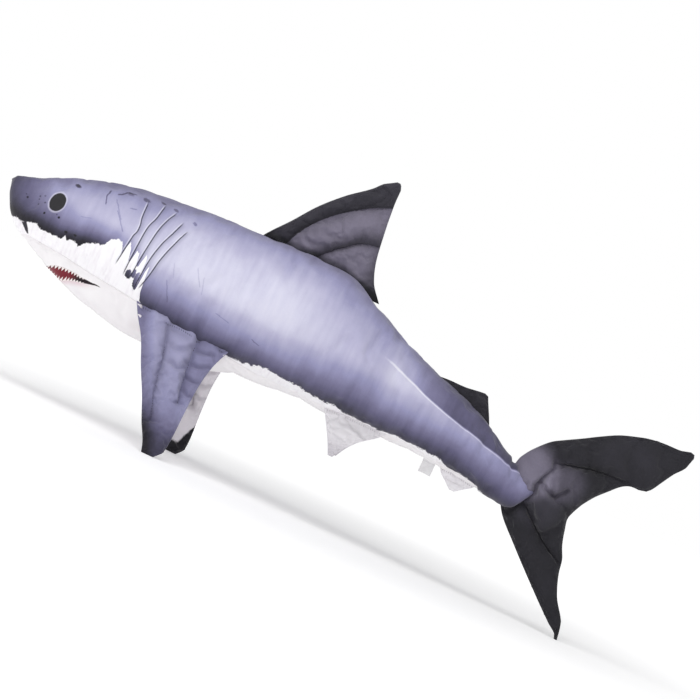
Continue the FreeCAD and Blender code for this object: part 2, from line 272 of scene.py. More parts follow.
# x, back, belly, half width of the stuffed body
BODY = [(-600, 311, 298, 4), (-593, 314, 280, 14), (-580, 318, 257, 24), (-555, 327, 233, 38),
        (-515, 343, 213, 56), (-460, 363, 189, 76), (-390, 380, 168, 92), (-300, 387, 154, 103),
        (-200, 395, 153, 107), (-120, 398, 171, 106), (-40, 395, 177, 102), (40, 364, 177, 90),
        (120, 327, 177, 74), (200, 300, 176, 58), (270, 274, 171, 46), (322, 244, 164, 37),
        (337, 236, 162, 34), (346, 231, 160, 33), (357, 220, 160, 31), (366, 216, 163, 28),
        (374, 213, 173, 23), (382, 210, 186, 18), (388, 207, 195, 11), (391, 205, 200, 5)]
SEAM = [(-590, 226), (-537, 229), (-444, 223), (-340, 211), (-250, 200), (-160, 189),
        (-90, 183), (0, 182), (110, 182), (200, 180), (270, 174), (345, 156)]
BELLY_START, BELLY_END = -553, 304
table = np.array(BODY, float)
back_at, belly_at, half_at = [smooth_curve(table[:, [0, k]]) for k in (1, 2, 3)]
seam_at = smooth_curve(SEAM)


def body_section(x):
    """Centre height, half height and half width of the body at x."""
    top, bottom = back_at(x), belly_at(x)
    return (top + bottom) / 2, (top - bottom) / 2, half_at(x)


def seam_angle(x):
    """Angle from the back to the belly seam, around the section."""
    middle, high, _ = body_section(x)
    return np.arccos(np.clip((seam_at(x) - middle) / high, -0.99999, 1))


def body_surface(x, angle, side):
    """Points and outward normals of the plain body, at that angle from the back."""
    middle, high, half = body_section(x)
    cap = np.clip((x + 600) / 6, 0, 1)
    high_in, half_in = high * (0.15 + 0.85 * np.sqrt(cap)), half * (0.1 + 0.9 * np.sqrt(cap))
    y = side * half_in * np.sin(angle)
    z = middle + high_in * np.cos(angle)
    points = np.stack([x + 0 * angle, y, z], -1)
    d = 0.5
    m0, h0, w0 = body_section(x - d)
    m1, h1, w1 = body_section(x + d)
    dm, dh, dw = (m1 - m0) / (2 * d), (h1 - h0) / (2 * d), (w1 - w0) / (2 * d)
    rise = z - middle
    gx = -(y**2) * dw / half**3 - rise**2 * dh / high**3 - rise * dm / high**2
    normal = np.stack([gx + 0 * angle, y / half**2, rise / high**2], -1)
    return points, normal / np.linalg.norm(normal, axis=-1, keepdims=True)


def printed_position(points):
    """Where the print's design puts each point: its place as seen from beside the shark."""
    x, y, z = points[..., 0] - CENTRE_X, -np.abs(points[..., 1]), points[..., 2] - CENTRE_Z
    sine, cosine = math.sin(YAW), math.cos(YAW)
    spread = PRINT_SCALE * DISTANCE / (DISTANCE - x * sine + y * cosine)
    return np.stack([CENTRE_X + PRINT_SHIFT + (x * cosine + y * sine) * spread, points[..., 1],
                     CENTRE_Z + z * spread], -1)


# soft folds in the flank: line on the side view, depth, width
FLANK_FOLDS = [
    ([(-266, 204), (-262, 222), (-256, 246)], 2.2, 7), ([(-212, 196), (-210, 220), (-206, 252)], 4, 9),
    ([(-160, 192), (-150, 206), (-132, 226)], 2.6, 8), ([(-110, 196), (-104, 216), (-92, 240)], 2, 10),
    ([(-318, 212), (-306, 236), (-300, 262)], 1.6, 9), ([(40, 188), (52, 214), (58, 240)], 1.4, 10),
    ([(150, 190), (162, 212), (166, 236)], 1.8, 9), ([(228, 188), (238, 206), (262, 222)], 2.2, 8),
    ([(300, 200), (312, 214), (330, 224)], 1.6, 7), ([(322, 178), (338, 188), (360, 200)], 3, 7),
    ([(339, 244), (341, 226), (346, 208)], 3.2, 3.5), ([(-20, 360), (20, 342), (60, 326)], 1.4, 10),
    ([(286, 236), (306, 226), (322, 200)], 1.6, 8), ([(60, 300), (100, 286), (130, 260)], 1.2, 12)]


def dress(points, normals, from_back, from_seam, along):
    """Pull the seams in, pucker the cloth beside them and let the filling lump softly."""
    groove = 3.2 * np.exp(-from_seam / 3.2) + 1.6 * np.exp(-(from_seam / 16) ** 2)
    groove += 1.5 * np.exp(-from_back / 3.0)
    pucker = ripple(along[..., None], 11, 3) * np.exp(-from_seam / 13)
    pucker *= 1 - np.exp(-from_seam / 3)
    lumps = 1.5 * ripple(points, 85, 11) + 0.5 * ripple(points, 34, 12)
    shift = lumps - groove + 0.5 * pucker + 1.0
    shift *= step(points[..., 0], -600, -560) * 0.9 + 0.1
    for line, depth, width in FLANK_FOLDS:
        x, z = points[..., 0], points[..., 2]
        apart = polyline_distance(x, z, smooth_line(line, 12))
        crest = np.exp(-(apart / width) ** 2) - 0.35 * np.exp(-((apart - 1.9 * width) / width) ** 2)
        shift -= depth * crest * (1 - 0.85 * np.exp(-(from_seam / 13) ** 2))
    return points + normals * shift[..., None]


def body_panel(name, side):
    """One printed side of the body, from the back seam to the belly seam."""
    nose = -600 + 16 * np.linspace(0, 1, 12) ** 1.7
    xs = np.concatenate([nose, np.arange(-581.5, 391, 2.7), [391]])
    share = np.linspace(0, 1, 96)
    x = xs[:, None]
    angle = np.where(x < BELLY_START, math.pi, seam_angle(x)) * share[None, :]
    points, normals = body_surface(x + 0 * angle, angle, side)
    gap = np.linalg.norm(np.diff(points, axis=1), axis=-1)
    from_back = np.concatenate([0 * x, np.cumsum(gap, 1)], 1)
    from_seam = from_back[:, -1:] - from_back
    from_seam = from_seam + 30 * (x > 306)
    shaped = dress(points, normals, from_back, from_seam, x + 0 * angle)
    held = np.exp(-np.minimum(from_back, from_seam) / 4) + step(-x, 575, 597) + step(x, 300, 330)
    shaped = settle(shaped, normals, held, 9, 0.008)
    return cloth_sheet(name, shaped, normals, printed_position(points), flip=side > 0)


def belly_panel_piece(name):
    """The white panel under the body, from one belly seam to the other."""
    xs = np.arange(BELLY_START, BELLY_END, 2.8)
    share = np.linspace(-1, 1, 80)
    x = xs[:, None]
    start = seam_angle(x)
    angle = start + (math.pi - start) * (1 - np.abs(share[None, :]))
    side = np.where(share < 0, -1.0, 1.0)[None, :]
    points, normals = body_surface(x + 0 * angle, angle, side)
    gap = np.linalg.norm(np.diff(points, axis=1), axis=-1)
    run = np.concatenate([0 * x, np.cumsum(gap, 1)], 1)
    from_seam = np.minimum(run, run[:, -1:] - run)
    shaped = dress(points, normals, from_seam + 40, from_seam, x + 0 * angle)
    held = np.exp(-from_seam / 4) + step(-x, 530, 550) + step(x, 270, 300)
    shaped = settle(shaped, normals, held, 8, 0.008)
    return cloth_sheet(name, shaped, normals, printed_position(points))


# ------------------------------------------------------------------ the fins

# Each fin's own frame: base x, y, z, pitch, yaw, lean in degrees.
FRAMES = {"dorsal": (0, 0, 0, 0, 0, 0), "second_dorsal": (173, 0, 307, 20, 0, 0),
          "anal": (0, 0, 0, 0, 0, 0), "tail": (350, 0, 200, 15, 0, 0),
          "pectoral": (0, -54, 200, 0, 6, 22), "pelvic": (0, -27, 181, 0, 0, 20)}
# level, front, rear, half thickness in the fin's own frame
FINS = {
    "dorsal": [(372, -200, 34, 4), (400, -182, 12, 6), (435, -154, 0, 13.5), (475, -124, -6, 15),
               (510, -90, -10, 12), (540, -54, -12, 8), (564, -25, -14, 3)],
    "second_dorsal": [(-8, -16, 122, 3.5), (6, 12, 108, 6), (18, 43, 95, 6.5), (28, 62, 84, 4.5),
                      (33, 72, 79, 2.5)],
    "anal": [(188, 228, 310, 2.6), (166, 241, 298, 4), (157, 252, 286, 4), (147, 264, 273, 2.5)],
    "tail": [(-150, 215, 222, 2.6), (-127, 177, 210, 5.5), (-104, 129, 187, 9), (-76, 73, 161, 13),
             (-42, 14, 142, 18), (0, -10, 114, 21), (42, -14, 112, 20), (76, -1, 122, 17.5),
             (104, 18, 139, 15), (126, 39, 162, 12.5), (146, 59, 179, 10.5), (166, 81, 189, 8.5),
             (186, 107, 195, 6.5), (205, 142, 198, 4.8), (217, 172, 200, 3.5),
             (225, 193, 198.6, 2.5)],
    "pectoral": [(24, -314, -138, 4), (-6, -305, -152, 6), (-40, -288, -164, 15),
                 (-85, -268, -171, 17.5), (-130, -246, -173, 14), (-172, -228, -174, 10.5),
                 (-200, -214, -177, 7), (-217, -209, -190, 4.5)],
    "pelvic": [(16, 18, 144, 2.6), (-8, 31, 124, 5), (-30, 44, 98, 6), (-52, 56, 81, 4.5),
               (-69, 64, 72, 2.5)]}
# the tail's edges, with their corners: level, x
TAIL_FRONT = [(-150, 216), (-143, 211), (-134, 190), (-106, 131), (-76, 72), (-46, 19), (-30, 4),
              (0, -10), (38, -14.5), (52, -11.5), (77, -1), (94, 9), (109, 23), (128, 42),
              (150, 63),
              (172, 86), (186, 106), (199, 128), (208, 150), (216, 176), (225, 192)]
TAIL_REAR = [(-150, 222), (-122, 208), (-94, 177), (-62, 154), (-42, 144), (-25, 130), (-5, 118),
             (18, 108), (42, 111), (65, 118), (91, 131), (110, 142), (119, 152), (125, 168),
             (130, 177), (138, 182), (156, 187), (178, 193), (203, 202), (218, 202), (225, 199)]
# rows of stitches through each fin, in its own frame (x, level)
QUILTING = {
    "dorsal": [[(-143, 400), (-141, 412), (-118, 447), (-70, 491), (-14, 522)],
               [(-88, 400), (-80, 411), (-60, 429), (-30, 450), (-4, 456)]],
    "pectoral": [[(-256, -4), (-250, -24), (-243, -54), (-232, -112), (-217, -162)],
                 [(-203, -4), (-202, -24), (-200, -50), (-195, -88), (-190, -118)]],
    "tail": [[(37, 71), (61, 85), (96, 104), (146, 121)],
             [(28, -8), (48, -16), (70, -27), (103, -41), (140, -50)]]}


def frame_matrix(name):
    """Turn and base of a fin's own frame in the row frame."""
    base_x, base_y, base_z, pitch, yaw, lean = FRAMES[name]
    p, w, t = (math.radians(v) for v in (pitch, yaw, -lean))
    turn_z = np.array([[math.cos(w), -math.sin(w), 0], [math.sin(w), math.cos(w), 0], [0, 0, 1]])
    turn_y = np.array([[math.cos(p), 0, math.sin(p)], [0, 1, 0], [-math.sin(p), 0, math.cos(p)]])
    turn_x = np.array([[1, 0, 0], [0, math.cos(t), -math.sin(t)], [0, math.sin(t), math.cos(t)]])
    return turn_z @ turn_y @ turn_x, np.array([base_x, base_y, base_z], float)


def to_row_frame(name, local, mirror=False):
    """Points from a fin's own frame to the row frame; a right-hand fin is mirrored."""
    turn, base = frame_matrix(name)
    placed = local @ turn.T + base
    if mirror:
        placed = placed * np.array([1, -1, 1])
    return placed


def on_tail(points):
    """A line given on the side view of the shark, in the tail fin's own frame."""
    turn, base = frame_matrix("tail")
    flat = np.array([(x, 0, z) for x, z in points], float)
    return ((flat - base) @ turn)[:, [0, 2]]


# folds and creases in the fins' cloth: fin, line in its own frame, depth as a share, width
CREASES = {
    "dorsal": [([(-104, 462), (-78, 492), (-56, 524), (-41, 546)], 0.34, 7),
               ([(-52, 502), (-36, 524), (-28, 542)], 0.25, 5),
               ([(-128, 430), (-96, 438), (-60, 444)], 0.12, 8),
               ([(-112, 414), (-84, 418), (-70, 414)], 0.12, 6)],
    "pectoral": [([(-172, -18), (-192, -24), (-206, -22)], 0.5, 5),
                 ([(-168, -40), (-186, -50), (-204, -50)], 0.5, 5),
                 ([(-172, -72), (-184, -76), (-196, -74)], 0.45, 4.5),
                 ([(-174, -98), (-182, -100), (-190, -96)], 0.45, 4),
                 ([(-212, -30), (-226, -36), (-238, -34)], 0.35, 6),
                 ([(-204, -58), (-216, -66), (-228, -62)], 0.35, 6),
                 ([(-262, -70), (-252, -84), (-240, -90)], 0.14, 7)],
    "tail": [(on_tail([(404, 250), (396, 232), (390, 216), (390, 204), (386, 194), (377, 184),
                         (374, 168), (366, 157), (352, 156)]), 0.55, 6),
             (on_tail([(395, 221), (406, 215), (420, 210), (430, 216), (438, 226)]), 0.42, 4.5),
             (on_tail([(401, 256), (409, 236), (416, 216)]), 0.22, 4),
             (on_tail([(420, 210), (440, 203), (459, 192)]), 0.30, 6),
             (on_tail([(388, 284), (396, 277), (402, 262)]), 0.30, 7),
             (on_tail([(382, 176), (396, 172), (410, 162)]), 0.30, 5),
             (on_tail([(352, 250), (366, 240), (386, 234)]), 0.14, 9),
             (on_tail([(440, 318), (476, 306), (520, 304)]), 0.12, 12),
             (on_tail([(436, 150), (446, 136), (462, 128)]), 0.2, 8)]}
FULLNESS = {"dorsal": 1.35, "pectoral": 1.2, "tail": 1.2}


class Fin:
    """The outline and the stuffed thickness of one fin, in its own frame."""

    def __init__(self, name):
        self.name = name
        rows = np.array(sorted(FINS[name]), float)
        self.low, self.high = rows[0, 0], rows[-1, 0]
        if name == "pectoral":
            rows[-1, 1], rows[-2, 1] = -324, -309
        if name == "dorsal":
            tip = [(553, -42, -12, 6), (560, -31, -14, 4), (565, -23, -17, 3)]
            rows = np.concatenate([rows[:-1], tip])
            self.high = 565.0
        self.front = smooth_curve(TAIL_FRONT if name == "tail" else rows[:, [0, 1]])
        self.rear = smooth_curve(TAIL_REAR if name == "tail" else rows[:, [0, 2]])
        self.thick = smooth_curve(rows[:, [0, 3]])
        levels = np.linspace(self.low, self.high, 70)
        down = FINS[name][0][0] > FINS[name][-1][0]
        self.root, self.tip = (self.high, self.low) if down else (self.low, self.high)
        front = np.stack([self.front(levels), levels], 1)
        rear = np.stack([self.rear(levels), levels], 1)
        if name == "tail":
            self.edge = np.concatenate([front[::-1], rear, front[-1:]])
        else:
            self.edge = np.concatenate([front[::-1], rear] if down else [front, rear[::-1]])
        self.quilting = [smooth_line(line) for line in QUILTING.get(name, [])]
        self.creases = [(smooth_line(line), depth, width)
                        for line, depth, width in CREASES.get(name, [])]

    def recess(self, x, level):
        """How far the stitch rows and creases draw the cloth in, from 0 to 1."""
        full = 1.0 + 0.0 * (x + level)
        for line in self.quilting:
            full = full * (1 - 0.86 * np.exp(-polyline_distance(x, level, line) / 9.5))
        for line, depth, width in self.creases:
            apart = polyline_distance(x, level, line)
            full = full * (1 - depth * np.exp(-(apart / width) ** 2))
        return 1 - full

    def half_thickness(self, x, level, side=1):
        """Half thickness at a place: pillow-shaped between the edge and the stitch rows."""
        chord = np.maximum(self.rear(level) - self.front(level), 6)
        reach = chord / 2
        inside = np.clip(polyline_distance(x, level, self.edge) / reach, 0, 1)
        shape = np.maximum(1 - (1 - inside) ** 2, 0) ** 0.62
        value = self.thick(level) * FULLNESS.get(self.name, 1.0) * shape
        value = value * (1 - self.recess(x, level))
        here = np.stack([x + 0 * level, level + 0 * x], -1)
        lumps = 0.06 * ripple(here, 46, 21 + side) + 0.03 * ripple(here, 17, 31 + side)
        return np.maximum(value * (1 + lumps), 0.25)


def fin_panel(name, shape, side, mirror, rows, columns):
    """One face of a fin, from its front edge to its rear edge."""
    t = np.linspace(0, 1, rows)
    levels = shape.root + (shape.tip - shape.root) * t
    if shape.name == "tail":
        levels = np.linspace(shape.low, shape.high, rows)
    level = levels[:, None]
    share = (1 - np.cos(np.linspace(0, math.pi, columns))) / 2
    share = 0.5 * share + 0.5 * np.linspace(0, 1, columns)
    x = shape.front(level) + (shape.rear(level) - shape.front(level)) * share[None, :]
    level = level + 0 * x
    half = shape.half_thickness(x, level, side)
    placed = to_row_frame(shape.name, np.stack([x, side * half, level], -1), mirror)
    normals = grid_normals(placed)
    out = to_row_frame(shape.name, np.array([[0.0, side, 0.0], [0.0, 0.0, 0.0]]), mirror)
    facing = np.sign(np.mean(normals @ (out[0] - out[1])))
    near = polyline_distance(x, level, shape.edge)
    for line in shape.quilting:
        near = np.minimum(near, polyline_distance(x, level, line))
    root_side = np.abs(level - shape.root) / 6 if shape.name != "tail" else (x + 14) / 30
    held = np.exp(-near / 2.5) + np.exp(-np.maximum(root_side, 0) ** 2)
    placed = settle(placed, normals * facing, held, 4.5, 0.05)
    normals = grid_normals(placed)
    # the middle number is how far the cloth is drawn in, which sets the painted shade in the stitch
    # rows and creases
    printed = np.stack([x, shape.recess(x, level), level], -1)
    return cloth_sheet(name, placed, normals * facing, printed, flip=facing < 0,
                       thickness=np.minimum(1.0, 0.6 * half)[..., None])


def fin_quilting(name, shape, mirror):
    """The thread of the stitch rows, on both faces of a fin."""
    starts, ends, outward = [], [], []
    for line in shape.quilting:
        run = np.concatenate([[0], np.cumsum(np.linalg.norm(np.diff(line, axis=0), axis=1))])
        marks = np.arange(6, run[-1] - 3, 4.4)
        for side in (-1, 1):
            for mark in marks:
                pair = []
                for place in (mark, mark + 2.9):
                    x = np.interp(place, run, line[:, 0])
                    level = np.interp(place, run, line[:, 1])
                    half = float(shape.half_thickness(np.array(x), np.array(level), side))
                    pair.append((x, side * (half - 0.15), level))
                pair = to_row_frame(shape.name, np.array(pair), mirror)
                up = to_row_frame(shape.name, np.array([[0, side, 0.0], [0, 0, 0.0]]), mirror)
                starts.append(pair[0])
                ends.append(pair[1])
                outward.append(up[0] - up[1])
    return stitch_row(name, starts, ends, outward, radius=0.42, lift=0.45)


def root_seam_piece(name, shape, mirror):
    """Overcast stitches all round a fin, where its faces meet the body."""
    levels = np.linspace(shape.root, shape.root + (shape.tip - shape.root) * 0.5, 220)[:, None]
    share = np.linspace(0.03, 0.97, 90)[None, :]
    loop = []
    for side in (-1, 1):
        x = shape.front(levels) + (shape.rear(levels) - shape.front(levels)) * share
        half = shape.half_thickness(x, levels + 0 * x, side)
        placed = to_row_frame(shape.name, np.stack([x, side * half, levels + 0 * x], -1), mirror)
        middle, high, width = body_section(placed[..., 0])
        outside = (placed[..., 1] / width) ** 2 + ((placed[..., 2] - middle) / high) ** 2 > 1.0
        first = np.argmax(outside, axis=0)
        good = outside.any(axis=0) & (first > 0)
        run = placed[first, np.arange(share.size)][good]
        loop.append(run if side < 0 else run[::-1])
    starts, ends, outward = [], [], []
    centre = np.concatenate(loop).mean(0)
    out_of_body = np.array([0, 0 if abs(centre[1]) < 5 else np.sign(centre[1]) * 0.8,
                            np.sign(centre[2] - body_section(centre[0])[0])])
    out_of_body = out_of_body / np.linalg.norm(out_of_body)
    for k, run in enumerate(loop):
        gaps = np.linalg.norm(np.diff(run, axis=0), axis=1)
        length = np.concatenate([[0], np.cumsum(gaps)])
        away = to_row_frame(shape.name, np.array([[0, 1.0 if k else -1.0, 0], [0, 0, 0.0]]), mirror)
        away = away[0] - away[1]
        for mark in np.arange(2, length[-1] - 2, 4.0):
            here = np.array([np.interp(mark, length, run[:, c]) for c in range(3)])
            there = np.array([np.interp(mark + 1.8, length, run[:, c]) for c in range(3)])
            starts.append(here + away * 1.6 + out_of_body * 0.1)
            ends.append(there + away * 0.2 + out_of_body * 2.0)
            outward.append(away + out_of_body)
    return stitch_row(name, starts, ends, outward, radius=0.4, lift=0.35)


# ------------------------------------------------------------------ node materials


def linear(red, green, blue):
    """A colour given as 0 to 255 display values."""
    return tuple(v / 255 / 12.92 if v / 255 <= 0.04045 else ((v / 255 + 0.055) / 1.055) ** 2.4
                 for v in (red, green, blue)) + (1.0,)


class Value:
    """One number in a node tree, so that a pattern reads as arithmetic."""

    def __init__(self, net, socket):
        self.net, self.socket = net, socket

    def __add__(self, other):
        return self.net.math("ADD", self, other)

    def __sub__(self, other):
        return self.net.math("SUBTRACT", self, other)

    def __rsub__(self, other):
        return self.net.math("SUBTRACT", other, self)

    def __mul__(self, other):
        return self.net.math("MULTIPLY", self, other)

    def __truediv__(self, other):
        return self.net.math("DIVIDE", self, other)

    def abs(self):
        return self.net.math("ABSOLUTE", self)

    __radd__, __rmul__ = __add__, __mul__


class Net:
    """A material's node tree, with short names for the nodes that the prints use."""

    def __init__(self, name):
        self.material = bpy.data.materials.new(name)
        self.material.use_nodes = True
        self.tree = self.material.node_tree
        self.shader = self.tree.nodes["Principled BSDF"]
        self.shared = {}

    def node(self, kind, **settings):
        made = self.tree.nodes.new(kind)
        for key, value in settings.items():
            setattr(made, key, value)
        return made

    def feed(self, socket, value):
        if isinstance(value, Value):
            self.tree.links.new(value.socket, socket)
        elif isinstance(value, bpy.types.NodeSocket):
            self.tree.links.new(value, socket)
        else:
            socket.default_value = value

    def math(self, operation, *values):
        made = self.node("ShaderNodeMath", operation=operation)
        for socket, value in zip(made.inputs, values):
            self.feed(socket, value)
        return Value(self, made.outputs[0])

    def place(self, name):
        """The three numbers of a vector that the mesh carries."""
        if name not in self.shared:
            source = self.node("ShaderNodeAttribute", attribute_name=name)
            parts = self.node("ShaderNodeSeparateXYZ")
            self.feed(parts.inputs[0], source.outputs["Vector"])
            self.shared[name] = (source.outputs["Vector"],
                                 [Value(self, out) for out in parts.outputs])
        return self.shared[name]

    def vector(self, x, y, z):
        made = self.node("ShaderNodeCombineXYZ")
        for socket, value in zip(made.inputs, (x, y, z)):
            self.feed(socket, value)
        return made.outputs[0]

    def oval(self, x, z, spot):
        """Squared distance from a spot given as x, z, half width, half height: 1 on its edge."""
        across, up = (x - spot[0]) / spot[2], (z - spot[1]) / spot[3]
        return across * across + up * up

    def noise(self, vector, size, detail=2.0, rough=0.5):
        made = self.node("ShaderNodeTexNoise")
        self.feed(made.inputs["Vector"], vector)
        made.inputs["Scale"].default_value = 1 / size
        made.inputs["Detail"].default_value = detail
        made.inputs["Roughness"].default_value = rough
        return Value(self, made.outputs["Fac"])

    def smooth(self, value, low, high):
        """0 at low and 1 at high; the two may be given in either order."""
        made = self.node("ShaderNodeMapRange", interpolation_type="SMOOTHSTEP")
        turned = low > high
        self.feed(made.inputs["Value"], value)
        made.inputs["From Min"].default_value = min(low, high)
        made.inputs["From Max"].default_value = max(low, high)
        made.inputs["To Min"].default_value = 1.0 if turned else 0.0
        made.inputs["To Max"].default_value = 0.0 if turned else 1.0
        return Value(self, made.outputs["Result"])

    def curve(self, value, points, sharp=False):
        """A drawn curve through given points."""
        xs, ys = [p[0] for p in points], [p[1] for p in points]
        x0, x1, y0, y1 = min(xs), max(xs), min(ys), max(ys)
        tall = max(y1 - y0, 1e-6)
        made = self.node("ShaderNodeFloatCurve")
        line = made.mapping.curves[0]
        while len(line.points) < len(points):
            line.points.new(0.5, 0.5)
        for handle, (x, y) in zip(line.points, points):
            handle.location = ((x - x0) / (x1 - x0), (y - y0) / tall)
            handle.handle_type = "VECTOR" if sharp else "AUTO_CLAMPED"
        made.mapping.use_clip = True
        made.mapping.update()
        self.feed(made.inputs["Value"], self.math("SUBTRACT", value, x0) / (x1 - x0))
        return Value(self, made.outputs[0]) * tall + y0

    def ramp(self, value, stops):
        made = self.node("ShaderNodeValToRGB")
        elements = made.color_ramp.elements
        while len(elements) < len(stops):
            elements.new(0.5)
        for element, (position, colour) in zip(elements, stops):
            element.position = position
            element.color = linear(*colour)
        self.feed(made.inputs[0], value)
        return made.outputs["Color"]

    def mix(self, share, first, second, blend="MIX"):
        made = self.node("ShaderNodeMix", data_type="RGBA", blend_type=blend)
        self.feed(made.inputs["Factor"], share)
        self.feed(made.inputs[6], linear(*first) if isinstance(first, tuple) else first)
        self.feed(made.inputs[7], linear(*second) if isinstance(second, tuple) else second)
        return made.outputs[2]

    def finish(self, colour, height, depth=0.0004, roughness=0.85, sheen=0.25, sheen_rough=0.45):
        """Colour, relief and the soft edge light of short pile on the surface shader."""
        self.feed(self.shader.inputs["Base Color"], colour)
        bump = self.node("ShaderNodeBump")
        bump.inputs["Strength"].default_value = 0.55
        bump.inputs["Distance"].default_value = depth
        self.feed(bump.inputs["Height"], height)
        self.feed(self.shader.inputs["Normal"], bump.outputs["Normal"])
        self.shader.inputs["Roughness"].default_value = roughness
        self.shader.inputs["Specular IOR Level"].default_value = 0.25
        self.shader.inputs["Sheen Weight"].default_value = sheen
        self.shader.inputs["Sheen Roughness"].default_value = sheen_rough
        return self.material


def pile(net, rest):
    """The fine nap and the knitted base of the cloth, with slight wear in patches."""
    nap = net.noise(rest, 0.55, 3.0, 0.65)
    tuft = net.noise(rest, 2.6, 2.0, 0.5)
    dents = net.noise(rest, 16.0, 2.0, 0.5)
    return nap * 0.55 + tuft * 0.7 + dents * 1.6


# upper and lower edge of the printed mouth, from the side: x, height
MOUTH_TOP = [(-494, 195), (-487, 200.5), (-480, 205), (-470, 208), (-455, 209), (-430, 208),
             (-410, 206.5), (-392, 205)]
MOUTH_BOTTOM = [(-494, 195), (-488, 198), (-478, 194), (-470, 191), (-462, 189.5), (-452, 191.5),
                (-440, 196), (-425, 200), (-410, 203), (-392, 205)]
# the printed teeth: x, length
UPPER_TEETH = [(-486, 2.0), (-476, 5.0), (-455, 5.5), (-438, 4.0), (-424, 1.5), (-416, 0)]
LOWER_TEETH = [(-484, 3.0), (-474, 5.5), (-458, 6.5), (-444, 5.0), (-430, 3.0), (-414, 0)]
# brightness of the grey print to its colour
GREY_PRINT = [(0.0, (24, 23, 28)), (0.13, (35, 33, 41)), (0.235, (62, 60, 77)),
              (0.37, (97, 94, 123)), (0.47, (121, 118, 149)), (0.585, (150, 149, 184)),
              (0.70, (180, 178, 205)), (0.81, (208, 207, 226)), (1.0, (240, 239, 246))]

# lower edge of the grey on the head and flank: x, height
HEAD_BORDER = [(-601, 242), (-574, 251), (-566, 253), (-557, 249), (-550, 252), (-541, 254),
               (-532, 257), (-520, 251), (-499, 250), (-485, 249), (-481, 258), (-477, 250),
               (-466, 256), (-455, 250), (-444, 260), (-431, 266), (-417, 269), (-409, 282),
               (-399, 289), (-391, 287), (-387, 279), (-384, 262), (-381, 284), (-378, 292),
               (-373, 282), (-370, 264), (-367, 262), (-363, 284), (-358, 281), (-355, 262),
               (-351, 262), (-346, 285), (-343, 280), (-340.5, 225), (-337, 262), (-334, 269),
               (-332, 226), (-329, 212), (-322, 204)]
REAR_BORDER = [(-322, 204), (-200, 190), (-160, 189), (-128, 189), (-112, 193), (-100, 198),
               (-60, 195), (0, 191), (60, 186), (100, 184), (200, 186), (227, 184), (247, 176),
               (271, 174), (299, 169), (345, 154), (400, 150)]
# gill slits: height, x
GILLS = [[(249, -387), (283, -382), (304, -379), (317, -376), (338, -379), (364, -380)],
         [(238, -369), (293, -366), (321, -364), (345, -357), (371, -352)],
         [(235, -357), (300, -350), (331, -345), (352, -338), (369, -331)],
         [(221, -344), (276, -339), (304, -333), (331, -324), (357, -314)],
         [(228, -337), (256, -329), (290, -322), (321, -312), (348, -302)]]
BRIGHTNESS = [(0, 0.20), (8, 0.24), (25, 0.38), (45, 0.54), (65, 0.66), (105, 0.81), (150, 0.78),
              (185, 0.73), (230, 0.72)]


# the height that the print's brightness is measured from, and how fast it climbs: x, value
PRINT_BASE = [(-601, 250), (-560, 250), (-480, 252), (-440, 258), (-400, 256), (-350, 228),
              (-322, 204), (-160, 188), (0, 184), (200, 184), (299, 169), (400, 152)]
PRINT_CLIMB = [(-601, 1.25), (-500, 1.35), (-440, 1.75), (-380, 1.7), (-330, 1.2), (-280, 1.0),
               (400, 1.0)]
# brightness from snout to tail: x, factor
ALONG_BODY = [(-601, 0.46), (-588, 0.52), (-570, 0.63), (-550, 0.74), (-520, 0.86), (-470, 0.92),
              (-400, 0.92), (-320, 0.98), (-280, 1.0), (-120, 1.0), (-20, 0.90), (60, 0.86),
              (110, 1.04), (280, 1.06), (400, 1.16)]
# the back's outline: x, height; and the painted shade that darkens the print towards it: depth, factor
CROWN = [(-601, 311), (-560, 326), (-480, 356), (-400, 378), (-300, 387), (-120, 397), (-20, 391),
         (40, 366), (120, 328), (200, 302), (270, 276), (337, 236), (400, 214)]
RIM_SHADE = [(-12, 0.60), (0, 0.66), (14, 0.80), (32, 0.90), (60, 0.97), (90, 1.0)]
# the pale line along the tail stem: x, height; and the print's brightness above it: x, factor
STEM_LINE = [(60, 300), (76, 297), (106, 288), (135, 278), (165, 266), (200, 256), (273, 239),
             (335, 222), (345, 219), (358, 218), (374, 213), (400, 206)]
ABOVE_STEM = [(40, 1.0), (80, 0.98), (120, 0.86), (180, 0.60), (240, 0.50), (340, 0.52), (400, 0.5)]
# how ragged the white border is: x, size
RAGGED = [(-600, 8), (-330, 8), (-300, 1), (-150, 2), (-130, 11), (300, 8)]
# grey blotches between the gills: x, height, half width, half height
BLOTCHES = [(-361, 243, 5.5, 8), (-353, 247, 3.5, 7), (-345.5, 240, 4.5, 13), (-343, 232, 3, 8)]
# old scratches: from x, height, to x, height, half width, darkness
SCRATCHES = [(-443, 356, -446, 343, 1.1, 0.24), (-446, 344, -441, 330, 0.9, 0.24),
             (-431, 354, -417, 364, 0.9, 0.22), (-417, 364, -402, 366, 0.9, 0.18),
             (-430, 347, -408, 318, 0.8, 0.10), (-420, 330, -397, 302, 0.9, 0.12),
             (-392, 345, -404, 342, 0.8, 0.12), (-262, 300, -246, 272, 0.8, 0.08),
             (-246, 290, -238, 262, 0.7, 0.07), (-300, 262, -284, 228, 0.8, 0.08),
             (-300, 292, -292, 268, 0.6, 0.06), (-205, 246, -178, 240, 0.7, 0.08),
             (-134, 232, -118, 226, 0.8, 0.12), (-470, 296, -452, 300, 0.7, 0.06)]
